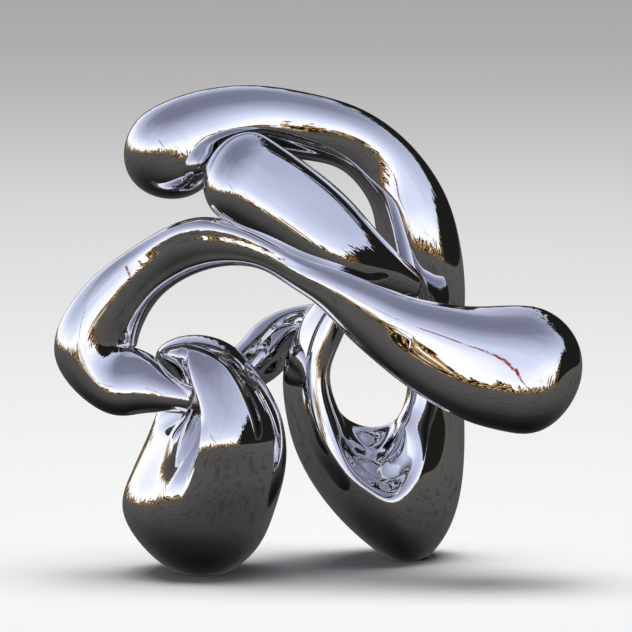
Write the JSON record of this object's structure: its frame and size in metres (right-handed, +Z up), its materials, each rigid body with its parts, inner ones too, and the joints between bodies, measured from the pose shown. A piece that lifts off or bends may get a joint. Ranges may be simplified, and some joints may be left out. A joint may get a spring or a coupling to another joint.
{
  "type": "magnetic desk sculpture",
  "caption": "Free-standing mirror-bright desk sculpture of flowing rounded limbs on two feet, with limbs that swivel on and pull off magnetic joints.",
  "frame": {"origin": "on the desk, under the middle of the sculpture", "axes": "+Z up; the front faces -Y; +X to the right as seen from the front"},
  "size_m": [0.2088, 0.0957, 0.1922],
  "materials": {
    "mirror_chrome": "polished",
    "polished_aluminium": "polished",
    "magnet_nickel": "satin",
    "pin_steel": "satin",
    "washer_nylon": "matte",
    "pad_rubber": "matte"
  },
  "bodies": {
    "base": {"left_foot": "mirror_chrome", "right_foot": "mirror_chrome", "rear_strut": "polished_aluminium", "tongue_magnet_a": "magnet_nickel", "tongue_pin": "pin_steel", "crown_magnet_a": "magnet_nickel", "crown_pin": "pin_steel", "strut_right_magnet_a": "magnet_nickel", "strut_right_magnet_b": "magnet_nickel", "strut_right_pin": "pin_steel", "strut_left_magnet_a": "magnet_nickel", "strut_left_magnet_b": "magnet_nickel", "strut_left_pin": "pin_steel", "left_pad": "pad_rubber", "right_pad": "pad_rubber"},
    "long_washer": {"tongue_washer": "washer_nylon"},
    "long_arm_body": {"long_arm": "polished_aluminium", "tongue_magnet_b": "magnet_nickel"},
    "crown_washer_body": {"crown_washer": "washer_nylon"},
    "crown_body": {"crown_arm": "polished_aluminium", "crown_magnet_b": "magnet_nickel", "bulb_magnet_a": "magnet_nickel", "bulb_pin": "pin_steel", "bulb_washer": "washer_nylon"},
    "bulb_body": {"central_bulb": "polished_aluminium", "bulb_magnet_b": "magnet_nickel"}
  },
  "joints": [
    {"name": "long_arm_pull", "type": "slide", "parent": "base", "child": "long_washer", "axis": [-0.9664, -0.0553, 0.2512], "range_m": [0, 0.012], "stiffness_N_per_m": 1500, "springref_m": -0.02},
    {"name": "long_arm_swivel", "type": "hinge", "parent": "long_washer", "child": "long_arm_body", "pos_m": [-0.051, -0.022, 0.071], "axis": [-0.9664, -0.0553, 0.2512], "range_deg": [-30, 0]},
    {"name": "crown_pull", "type": "slide", "parent": "base", "child": "crown_washer_body", "axis": [-0.0038, 0.0053, 1], "range_m": [0, 0.012], "stiffness_N_per_m": 1500, "springref_m": -0.03},
    {"name": "crown_swivel", "type": "hinge", "parent": "crown_washer_body", "child": "crown_body", "pos_m": [0.047, 0.023, 0.094], "axis": [-0.0038, 0.0053, 1], "range_deg": [-60, 0]},
    {"name": "bulb_swivel", "type": "hinge", "parent": "crown_body", "child": "bulb_body", "pos_m": [0.036, 0.0135, 0.1125], "axis": [-0.6417, -0.6616, 0.3879], "range_deg": [-90, 0]}
  ]
}
